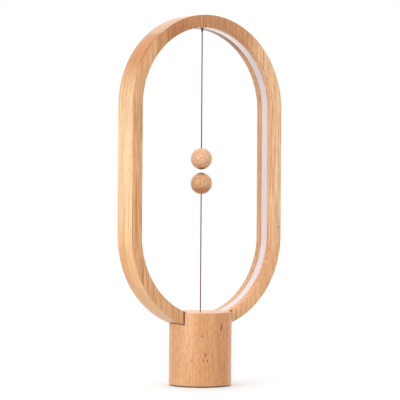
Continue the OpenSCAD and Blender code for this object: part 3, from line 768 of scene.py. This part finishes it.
def bevel(obj: Object, kind: str, width: float, segments: int, test: Test) -> None:
    """Rounds the corners or edges that pass a test.

    Args:
        obj: The object.
        kind: VERT for the corners of a flat shape, or EDGE.
        width: How far from the corner or edge the rounding starts.
        segments: How many steps it has.
        test: Says whether a corner or an edge is wanted.
    """
    affect = {"VERT": "VERTICES", "EDGE": "EDGES"}[kind]
    with editing(obj, kind, test):
        bpy.ops.mesh.bevel(offset=width, segments=segments, affect=affect, offset_type="OFFSET")


def level(height: float) -> Test:
    """A test for the edges that lie at a height."""
    return lambda edge: all(abs(v.co.z - height) < SAME for v in edge.verts)


def apply_modifier(obj: Object, kind: str, **settings: Any) -> None:
    """Adds a modifier and applies it.

    Args:
        obj: The object.
        kind: The modifier's type.
        **settings: Its settings.
    """
    choose(obj)
    modifier = obj.modifiers.new(kind.lower(), kind)
    for name, value in settings.items():
        setattr(modifier, name, value)
    bpy.ops.object.modifier_apply(modifier=modifier.name)


def cut(obj: Object, *cutters: Object, operation: str = "DIFFERENCE") -> None:
    """Combines an object with others, and removes those.

    Args:
        obj: The object that stays.
        *cutters: The objects that are used up.
        operation: DIFFERENCE, UNION or INTERSECT.
    """
    for cutter in cutters:
        apply_modifier(obj, "BOOLEAN", operation=operation, object=cutter, solver="MANIFOLD")
        bpy.data.objects.remove(cutter)


def apply_place(obj: Object) -> None:
    """Moves an object's place, turn and size into its mesh."""
    choose(obj)
    bpy.ops.object.transform_apply(location=True, rotation=True, scale=True)


def outward(obj: Object) -> Object:
    """Merges doubled points, turns every face outwards, and returns the object."""
    with editing(obj):
        bpy.ops.mesh.remove_doubles(threshold=SAME)
        bpy.ops.mesh.normals_make_consistent(inside=False)
    return obj


def primitive(name: str, kind: str, scale: Point = (1.0, 1.0, 1.0), **settings: Any) -> Object:
    """Adds a mesh primitive with its place and size applied.

    Args:
        name: The object's name.
        kind: The primitive, as its operator's name has it.
        scale: A size to apply.
        **settings: The operator's settings.

    Returns:
        The object.
    """
    choose()
    getattr(bpy.ops.mesh, f"primitive_{kind}_add")(**settings)
    obj = bpy.context.object
    obj.name = name
    obj.scale = scale
    apply_place(obj)
    return obj


def bar(name: str, radius: float, low: float, high: float, sides: int = 48) -> Object:
    """An upright round bar on the Z axis."""
    form = {"radius": radius, "depth": high - low, "location": (0.0, 0.0, (low + high) / 2)}
    return primitive(name, "cylinder", vertices=sides, **form)


def block(name: str, low: Point, high: Point) -> Object:
    """A box between two corners."""
    middle, size = zip(*(((a + b) / 2, b - a) for a, b in zip(low, high)))
    return primitive(name, "cube", size, size=1.0, location=middle)


def round_ball(name: str, radius: float) -> Object:
    """A ball round the origin."""
    return primitive(name, "uv_sphere", segments=96, ring_count=64, radius=radius)


class Lamp:
    """The lamp's shared sizes, read from the frame."""

    def __init__(self) -> None:
        """Reads the sizes."""
        low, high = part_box("frame_front_half")
        self.ring_r = high.x
        self.ring_low = low.z
        self.half_depth = -low.y
        self.low_c = self.ring_low + self.ring_r
        self.top_c = high.z - self.ring_r
        base_low, base_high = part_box("base_body")
        self.wood_low = base_low.z
        self.base_h = base_high.z
        self.base_r = base_high.x
        self.inner_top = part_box("upper_eyelet")[0].z + EYELET_RIM
        self.inner_r = self.inner_top - self.top_c
        self.meeting = (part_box("upper_ball")[0].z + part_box("lower_ball")[1].z) / 2


class Slot(Enum):
    """The record's material slots that the modelled pieces use."""

    FRAME = "beech_frame"
    BASE = "beech_base"
    BALL = "beech_ball"
    PLUG = "beech_plug"
    DIFFUSER = "milky_diffuser"
    CORD = "cord"
    RUBBER = "rubber"
    BLACK = "black_plastic"


@dataclass
class Workshop:
    """Hands out materials and reports each finished piece."""

    materials: dict[str, Material]

    def hand_in(
        self, obj: Object, name: str, body: str, slot: Slot, node: str, angle: float = 32.0
    ) -> None:
        """Names a finished piece, dresses it and sets it in the frame.

        Args:
            obj: The modelled object.
            name: The piece's name.
            body: The body that it rides on.
            slot: Its material slot.
            node: The CAD node that it stands for.
            angle: The angle up to which it is shaded smooth, in degrees.
        """
        obj.name = name
        obj.data.name = name
        obj.data.materials.clear()
        obj.data.materials.append(self.materials[slot.value])
        choose(obj)
        bpy.ops.object.shade_smooth_by_angle(angle=math.radians(angle))
        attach(obj, body)
        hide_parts(node)
        LOG.info("%s rides on %s, %d faces", name, body, len(obj.data.polygons))


# ---- the light ring ----


@dataclass
class LightRing:
    """The ring of two glued halves, and the diffuser in its groove."""

    lamp: Lamp
    workshop: Workshop
    edge: float = 0.7 * MM
    fill: float = 4.0 * MM
    mouth_width: float = 10.4 * MM
    mouth_depth: float = 2.2 * MM
    channel_width: float = 8.4 * MM
    channel_depth: float = 7.0 * MM
    overlap: float = 0.5 * MM
    mouth_stop: float = 18.5
    channel_stop: float = 12.0
    lower_bore: float = 2.1 * MM
    lower_bore_depth: float = 8.1 * MM
    rim_bore: float = 3.4 * MM
    rim_bore_depth: float = 1.1 * MM
    upper_bore_depth: float = 10.4 * MM
    diffuser_width: float = 10.0 * MM
    diffuser_depth: float = 2.0 * MM
    diffuser_set: float = 0.1 * MM
    diffuser_edge: float = 0.3 * MM
    diffuser_gap: float = 0.2
    steps: int = 72

    def build(self) -> None:
        """Makes both halves and the diffuser."""
        front = self._half()
        rear = self._mirrored(front)
        self.workshop.hand_in(front, "ring_front", "root", Slot.FRAME, "frame_front_half")
        self.workshop.hand_in(rear, "ring_rear", "root", Slot.FRAME, "frame_rear_half")
        self.workshop.hand_in(self._diffuser(), "diffuser_strip", "root", Slot.DIFFUSER, "diffuser")

    def _section(self, name: str, inner: float, outer: float, front: float, back: float) -> Object:
        """A rectangle across the ring, facing up, where its right side meets the lower bow.

        Args:
            name: The object's name.
            inner: The radius of its inner side.
            outer: The radius of its outer side.
            front: Its lowest Y.
            back: Its highest Y.

        Returns:
            The flat section.
        """
        centre = ((inner + outer) / 2, (front + back) / 2, self.lamp.low_c)
        size = (outer - inner, back - front, 1.0)
        return primitive(name, "plane", size, size=1.0, location=centre)

    def _sweep(self, obj: Object, stop: float) -> None:
        """Sweeps a section all round the ring.

        Args:
            obj: The section, as _section makes it.
            stop: Where the sweep starts and ends, in degrees from the lowest point; 0 closes it.
        """
        lamp = self.lamp
        low, top = Vector((0.0, 0.0, lamp.low_c)), Vector((0.0, 0.0, lamp.top_c))
        rise = lamp.top_c - lamp.low_c
        bow = math.radians(90.0 - stop)
        bow_steps = round(self.steps / 2 * (90.0 - stop) / 90.0)
        turn = Matrix.Rotation(bow, 4, "Y")
        obj.matrix_world = Matrix.Translation(low) @ turn @ Matrix.Translation(-low)
        apply_place(obj)
        with editing(obj):
            for centre, angle, steps, way in (
                (low, bow, bow_steps, rise),
                (top, math.pi, self.steps, -rise),
                (low, bow, bow_steps, None),
            ):
                bpy.ops.mesh.spin(steps=steps, angle=angle, center=centre, axis=(0, 1, 0))
                if way is not None:
                    bpy.ops.mesh.extrude_region_move(TRANSFORM_OT_translate={"value": (0, 0, way)})
        if stop == 0.0:
            with editing(obj):
                bpy.ops.mesh.remove_doubles(threshold=SAME)
            with editing(obj, "FACE", self._is_seam):
                bpy.ops.mesh.delete(type="FACE")
        outward(obj)

    def _is_seam(self, face: bmesh.types.BMFace) -> bool:
        """Whether a face closes a swept section at the ring's lowest point."""
        return all(abs(v.co.x) < SAME and v.co.z < self.lamp.low_c for v in face.verts)

    def _half(self) -> Object:
        """The front half: swept, filled at the bottom, with broken edges, groove and cord holes."""
        lamp = self.lamp
        half = self._section("ring_half", lamp.inner_r, lamp.ring_r, -lamp.half_depth, 0.0)
        bevel(half, "VERT", self.edge, 3, lambda v: v.co.y < -lamp.half_depth / 2)
        self._sweep(half, 0.0)
        cut(half, self._bottom_fill(), operation="UNION")
        cut(half, *self._groove(), *self._cord_holes())
        return outward(half)

    def _bottom_fill(self) -> Object:
        """The wood that fills the ring's bottom level with the base."""
        lamp = self.lamp
        reach = math.sqrt(lamp.inner_r**2 - (lamp.low_c - lamp.base_h) ** 2)
        deep = lamp.base_h - self.fill - (lamp.ring_r - lamp.inner_r) / 2
        return block("fill", (-reach, -lamp.half_depth, deep), (reach, 0.0, lamp.base_h))

    def _groove(self) -> list[Object]:
        """The shapes that cut the diffuser's seat and the strip's channel behind it."""
        inner = self.lamp.inner_r
        floor, back = inner + self.mouth_depth, inner + self.channel_depth
        made = []
        for name, width, low, high, stop in (
            ("mouth", self.mouth_width, inner - MM, floor, self.mouth_stop),
            ("channel", self.channel_width, floor - self.overlap, back, self.channel_stop),
        ):
            made.append(self._section(name, low, high, -width / 2, width / 2))
            self._sweep(made[-1], stop)
        return made

    def _cord_holes(self) -> list[Object]:
        """The bores for the upper cord's eyelet and for the lower eyelet with its rim."""
        top, base, above = self.lamp.inner_top, self.lamp.base_h, self.lamp.base_h + MM
        return [
            bar("upper_bore", EYELET_BORE, top - 2 * MM, top + self.upper_bore_depth),
            bar("lower_way", CORD_BORE, self.lamp.ring_low - MM, above),
            bar("lower_bore", self.lower_bore, base - self.lower_bore_depth, above),
            bar("rim_bore", self.rim_bore, base - self.rim_bore_depth, above),
        ]

    def _mirrored(self, front: Object) -> Object:
        """The rear half: the front one mirrored, with a mesh of its own."""
        rear = front.copy()
        rear.data = front.data.copy()
        bpy.context.scene.collection.objects.link(rear)
        rear.scale = (1.0, -1.0, 1.0)
        apply_place(rear)
        return outward(rear)

    def _diffuser(self) -> Object:
        """The milky strip, with softened edges and the hole for the upper eyelet."""
        lamp, half = self.lamp, self.diffuser_width / 2
        inner = lamp.inner_r + self.diffuser_set
        strip = self._section("strip", inner, inner + self.diffuser_depth, -half, half)
        middle = inner + self.diffuser_depth / 2
        bevel(strip, "VERT", self.diffuser_edge, 3, lambda v: v.co.x < middle)
        self._sweep(strip, self.mouth_stop + self.diffuser_gap)
        cut(strip, bar("eyelet_way", EYELET_BORE, lamp.inner_top - 3 * MM, lamp.inner_top + 5 * MM))
        return outward(strip)


# ---- the base ----


@dataclass
class Base:
    """The turned base with the ring's slot, its rubber foot and the recess of the power socket."""

    lamp: Lamp
    workshop: Workshop
    wall: float = 9.0 * MM
    roof: float = 7.0 * MM
    slot_gap: float = 0.15 * MM
    seat_gap: float = 0.1 * MM
    cover_depth: float = 3.5 * MM
    pad_depth: float = 1.5 * MM
    top_edge: float = 0.7 * MM
    foot_edge: float = 0.9 * MM
    pad_edge: float = 0.35 * MM
    plug_width: float = 12.4 * MM
    plug_height: float = 7.4 * MM
    plug_depth: float = 6.5 * MM
    plug_corner: float = 1.8 * MM
    socket_corner: float = 1.5 * MM
    sides: int = 160

    def build(self) -> None:
        """Makes the base and its foot."""
        self.workshop.hand_in(self._body(), "base_turning", "root", Slot.BASE, "base_body")
        self.workshop.hand_in(self._foot(), "foot_disc", "root", Slot.RUBBER, "foot_pad")

    def _body(self) -> Object:
        """The turned body with everything cut into it."""
        lamp = self.lamp
        body = bar("body", lamp.base_r, lamp.wood_low, lamp.base_h, self.sides)
        bevel(body, "EDGE", self.top_edge, 4, level(lamp.base_h))
        bevel(body, "EDGE", self.foot_edge, 4, level(lamp.wood_low))
        cut(body, self._slot(), *self._inside(), *self._socket_way())
        return outward(body)

    def _slot(self) -> Object:
        """The curved slot that the ring sits in."""
        lamp, turn = self.lamp, (math.pi / 2, 0.0, 0.0)
        radius, depth = lamp.ring_r + self.slot_gap, 2 * (lamp.half_depth + self.slot_gap)
        form = {"radius": radius, "depth": depth, "location": (0.0, 0.0, lamp.low_c)}
        return primitive("slot", "cylinder", vertices=288, rotation=turn, **form)

    def _inside(self) -> list[Object]:
        """The cavity, the cover's seat, the pad's recess and the way for the lower cord."""
        lamp = self.lamp
        below = lamp.wood_low - MM
        cavity_top = lamp.ring_low - self.roof
        seat_r, pad_r = (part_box(name)[1].x + self.seat_gap for name in ("bottom_cover", "foot_pad"))
        return [
            bar("cavity", lamp.base_r - self.wall, below, cavity_top, 96),
            bar("cover_seat", seat_r, below, self.cover_depth, 96),
            bar("pad_recess", pad_r, below, self.pad_depth, 96),
            bar("cord_way", CORD_BORE, cavity_top - MM, lamp.ring_low + 2 * MM),
        ]

    def _socket_way(self) -> list[Object]:
        """The recess that takes the plug's grip, and the window that the power socket stands in."""
        low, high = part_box("power_socket")
        middle = (low.z + high.z) / 2
        back = self.lamp.base_r
        width, height = high.x - low.x + 2 * self.seat_gap, high.z - low.z + 2 * self.seat_gap
        made = []
        for name, across, upright, corner, deep, out in (
            ("recess", self.plug_width, self.plug_height, self.plug_corner, self.plug_depth, MM),
            ("window", width, height, self.socket_corner, self.wall + 3 * MM, -4 * MM),
        ):
            start, end = back - deep, back + out
            x, z, long = across / 2, upright / 2, (end - start) / 2
            slab = block(name, (-x, start, middle - z), (x, end, middle + z))
            bevel(slab, "EDGE", corner, 8, lambda e: abs(e.verts[0].co.y - e.verts[1].co.y) > long)
            made.append(slab)
        return made

    def _foot(self) -> Object:
        """The rubber pad, with a rounded lower edge."""
        low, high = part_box("foot_pad")
        pad = bar("pad", high.x, low.z, high.z, 128)
        bevel(pad, "EDGE", self.pad_edge, 3, level(low.z))
        return outward(pad)


# ---- the balls and the bead ----


@dataclass
class Ball:
    """One turned ball with its cord hole, and the wooden plug over its magnet."""

    workshop: Workshop
    name: str
    body: str
    turned: bool
    hole: float = 0.8 * MM
    plug_hole: float = 4.1 * MM
    plug_gap: float = 0.07 * MM
    plug_edge: float = 0.12 * MM
    countersink: float = 0.45 * MM

    def build(self) -> None:
        """Makes the ball and its plug, whose plugged side is up unless it is turned over."""
        low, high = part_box(f"{self.name}_ball")
        centre, radius = (low + high) / 2, (high.x - low.x) / 2
        for piece, end, slot, node in (
            (self._ball(radius, centre.z), "turning", Slot.BALL, f"{self.name}_ball"),
            (self._plug(radius), "cap", Slot.PLUG, f"{self.name}_ball_plug"),
        ):
            piece.rotation_euler = (math.pi if self.turned else 0.0, 0.0, 0.0)
            piece.location = centre
            apply_place(piece)
            self.workshop.hand_in(piece, f"{self.name}_ball_{end}", self.body, slot, node)

    def _ball(self, radius: float, height: float) -> Object:
        """The ball with its cord hole, and the plug's hole down to the magnet.

        Args:
            radius: The ball's radius.
            height: Its middle's height.

        Returns:
            The ball, round the origin.
        """
        ball = round_ball("ball", radius)
        low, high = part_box(f"{self.name}_magnet")
        room = max(abs(low.z - height), abs(high.z - height)) - (high.z - low.z)
        start, end = -radius - MM, -radius + self.countersink
        wide, place = self.hole + 2 * self.countersink + MM, (0.0, 0.0, (start + end) / 2)
        form = {"radius1": wide, "radius2": self.hole, "depth": end - start, "location": place}
        flare = primitive("flare", "cone", vertices=48, **form)
        seat = bar("seat", self.plug_hole, room, radius + MM, 64)
        cut(ball, bar("hole", self.hole, start, 0.0), flare, seat)
        return outward(ball)

    def _plug(self, radius: float) -> Object:
        """The plug, turned to the ball's own round face and broken a little at its rim.

        Args:
            radius: The ball's radius.

        Returns:
            The plug, in a ball round the origin.
        """
        plug_r = self.plug_hole - self.plug_gap
        low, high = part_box(f"{self.name}_ball_plug")
        plug = round_ball("plug", radius)
        core = bar("core", plug_r, radius - (high.z - low.z), radius + MM, 96)
        cut(plug, core, operation="INTERSECT")
        rim, near = Vector((plug_r, math.sqrt(radius**2 - plug_r**2))), 20 * SAME

        def on_rim(edge: bmesh.types.BMEdge) -> bool:
            """Whether an edge lies on the plug's rim."""
            places = (Vector((v.co.xy.length, v.co.z)) for v in edge.verts)
            return all((place - rim).length < near for place in places)

        bevel(plug, "EDGE", self.plug_edge, 2, on_rim)
        return outward(plug)


@dataclass
class Bead:
    """The small barrel-shaped bead that the upper cord hangs from."""

    workshop: Workshop
    rise: float = 1.2 * MM
    drop: float = 1.8 * MM
    edge: float = 0.75 * MM

    def build(self) -> None:
        """Makes the bead round its pivot."""
        low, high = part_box("upper_cord_bead")
        centre = (low.z + high.z) / 2
        bead = bar("bead", (high.x - low.x) / 2, centre - self.drop, centre + self.rise, 40)
        flat = SAME / 10
        bevel(bead, "EDGE", self.edge, 5, lambda e: abs(e.verts[0].co.z - e.verts[1].co.z) < flat)
        names = ("upper_bead_turning", "upper_bead", Slot.BLACK, "upper_cord_bead")
        self.workshop.hand_in(outward(bead), *names)


# ---- the cords ----


class Lay(Enum):
    """How a cord lies."""

    HANGING = "hanging"
    TAUT = "taut"


@dataclass
class Cord:
    """A free cord, twisted from plies."""

    workshop: Workshop
    name: str
    node: str
    body: str
    lay: Lay
    drop: float = 0.0
    plies: int = 3
    diameter: float = 1.2 * MM
    ply_radius: float = 0.40 * MM
    ply_offset: float = 0.245 * MM
    pitch: float = 3.4 * MM
    steps_per_turn: int = 10
    path_steps: int = 24

    def build(self) -> None:
        """The upper cord hangs from its top. The lower one is held taut from its foot; a path is
        listed from that end but not used, and a cord with a drop gets a mesh of its own.
        """
        low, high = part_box(self.node)
        length = high.z - low.z
        plies = [self._ply(k, low.z, length) for k in range(self.plies)]
        choose(*plies)
        bpy.ops.object.join()
        cord = bpy.context.object
        self.workshop.hand_in(cord, self.name, self.body, Slot.CORD, self.node, angle=60.0)
        steps = range(self.path_steps + 1)
        path = [(0.0, 0.0, high.z - length * k / self.path_steps) for k in steps]
        if self.lay is Lay.TAUT:
            path.reverse()
        if self.drop:
            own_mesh(cord)

    def _ply(self, index: int, low: float, length: float) -> Object:
        """One ply, wound round the cord's axis by a screw.

        Args:
            index: Its number.
            low: Its lowest height.
            length: The cord's length.

        Returns:
            The ply, closed at both ends.
        """
        angle, turns = math.tau * index / self.plies, length / self.pitch
        place = (self.ply_offset * math.cos(angle), self.ply_offset * math.sin(angle), low)
        settings = {"radius": self.ply_radius, "fill_type": "NOTHING", "location": place}
        ply = primitive("ply", "circle", vertices=7, **settings)
        steps = round(turns * self.steps_per_turn)
        twist = {"angle": math.tau * turns, "screw_offset": length}
        apply_modifier(ply, "SCREW", axis="Z", steps=steps, render_steps=steps, **twist)
        with editing(ply, "EDGE", lambda e: e.is_boundary):
            bpy.ops.mesh.edge_face_add()
        return outward(ply)


# ---- the studio ----


@dataclass
class Studio:
    """The camera, the floor and the lights."""

    azimuth: float = -36.368
    elevation: float = -0.066
    roll: float = 0.373
    distance: float = 2173.728 * MM
    focus_px: float = 2007.814
    aim_across: float = -1.218 * MM
    aim_height: float = 200.28 * MM
    clip: tuple[float, float] = (0.05, 50.0)
    floor_side: float = 14.0
    floor_dark: Colour = (0.785, 0.810, 0.830)
    floor_light: Colour = (0.795, 0.820, 0.840)
    room: Colour = (1.0, 0.99, 0.98)
    zenith: float = 1.4
    horizon: float = 0.62
    below: float = 0.66
    sweep: float = 0.7
    key: float = 24.0
    fill: float = 4.4
    light_aim: float = 0.2

    def build(self) -> None:
        """Sets the camera, the floor and the lights."""
        self._camera()
        self._floor()
        self._world()
        bpy.context.scene.view_settings.view_transform = "Standard"
        self._lights()

    def _axes(self) -> tuple[Vector, Vector, Vector]:
        """The camera's right, up and backward directions."""
        a, e, r = (math.radians(v) for v in (self.azimuth, self.elevation, self.roll))
        back = Vector((math.sin(a) * math.cos(e), -math.cos(a) * math.cos(e), math.sin(e)))
        flat = Vector((math.cos(a), math.sin(a), 0.0))
        upright = back.cross(flat)
        right = flat * math.cos(r) + upright * math.sin(r)
        return right, upright * math.cos(r) - flat * math.sin(r), back

    def _camera(self) -> None:
        """The camera at the photograph's viewing angle."""
        right, up, back = self._axes()
        a = math.radians(self.azimuth)
        across = self.aim_across * Vector((math.cos(a), math.sin(a), 0.0))
        aim = across + Vector((0.0, 0.0, self.aim_height))
        data = bpy.data.cameras.new("camera")
        data.sensor_width = SENSOR_MM
        data.lens = self.focus_px * SENSOR_MM / IMAGE_SIDE
        data.clip_start, data.clip_end = self.clip
        data.dof.use_dof = False
        camera = bpy.data.objects.new("camera", data)
        turn = Matrix((right, up, back)).transposed().to_4x4()
        camera.matrix_world = Matrix.Translation(aim + back * self.distance) @ turn
        bpy.context.scene.collection.objects.link(camera)
        bpy.context.scene.camera = camera

    def _floor(self) -> None:
        """A wide pale floor, which the camera alone sees."""
        floor = primitive("floor", "plane", size=self.floor_side)
        build = ShaderBuild("pale_floor")
        colour = build.mix(build.noise(3.0), self.floor_dark, self.floor_light)
        floor.data.materials.append(build.finish(Base_Color=colour, Roughness=0.9))
        for ray in ("diffuse", "glossy", "transmission", "shadow"):
            setattr(floor, f"visible_{ray}", False)

    def _lights(self) -> None:
        """A wide soft box on the left and a weak one in front, both facing the lamp's middle."""
        for name, place, size, power, colour in (
            ("key", (-2.05, -0.36, 0.62), (1.2, 1.4), self.key, (1.0, 0.99, 0.97)),
            ("fill", (0.5, -2.1, 0.45), (1.4, 1.4), self.fill, WHITE),
        ):
            data = bpy.data.lights.new(name, "AREA")
            data.shape = "RECTANGLE"
            data.size, data.size_y = size
            data.energy = power
            data.color = colour
            light = bpy.data.objects.new(name, data)
            light.location = place
            aim = Vector((0.0, 0.0, self.light_aim)) - Vector(place)
            light.rotation_euler = aim.to_track_quat("-Z", "Y").to_euler()
            bpy.context.scene.collection.objects.link(light)

    def _world(self) -> None:
        """A soft room, brightest overhead; the camera sees it as plain white."""
        *_, back = self._axes()
        world = bpy.data.worlds.new("room")
        world.use_nodes = True
        build = NodeBuild(world.node_tree)
        across, along, height = build.axes(build.node("ShaderNodeTexCoord", output="Generated"))
        away = -back.x * across + -back.y * along
        above = self.horizon + (self.zenith - self.horizon) * height
        over = height.ramp(-0.06, 0.06)
        power = above * over + self.below * (1.0 - over) + self.sweep * away.ramp(0.3, 0.9)
        light, white = (
            build.node("ShaderNodeBackground", {}, {"Color": colour, "Strength": strength})
            for colour, strength in ((self.room, power), (WHITE, 1.0))
        )
        seen = build.node("ShaderNodeLightPath", output="Is Camera Ray")
        mixed = build.node("ShaderNodeMixShader", {}, {0: seen, 1: light, 2: white})
        build.node("ShaderNodeOutputWorld", {}, {0: mixed}, None)
        bpy.context.scene.world = world


def dress(frame: dict[str, Any], materials: dict[str, Material]) -> None:
    """Gives every CAD node the material of its slot.

    Args:
        frame: The loaded frame.
        materials: The materials by slot.
    """
    for part in frame["record"]["subparts"]:
        slots = frame["nodes"][part["node"]].data.materials
        slots.clear()
        slots.append(materials[part["material_slot"]])


def main() -> None:
    """Builds the lamp around the frame."""
    logging.basicConfig(level=logging.INFO, format="%(name)s: %(message)s")
    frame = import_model()
    lamp = Lamp()
    materials = finishes(lamp)
    workshop = Workshop(materials)
    dress(frame, materials)
    for part in (
        Studio(),
        Cord(workshop, "upper_thread", "upper_cord", "upper_pendulum", Lay.HANGING),
        Cord(workshop, "lower_thread", "lower_cord", "lower_line", Lay.TAUT, 119.0 * MM),
        LightRing(lamp, workshop),
        Base(lamp, workshop),
        Bead(workshop),
        Ball(workshop, "upper", "upper_pendulum", True),
        Ball(workshop, "lower", "lower_pendulum", False),
    ):
        part.build()


if __name__ == "__main__":
    main()
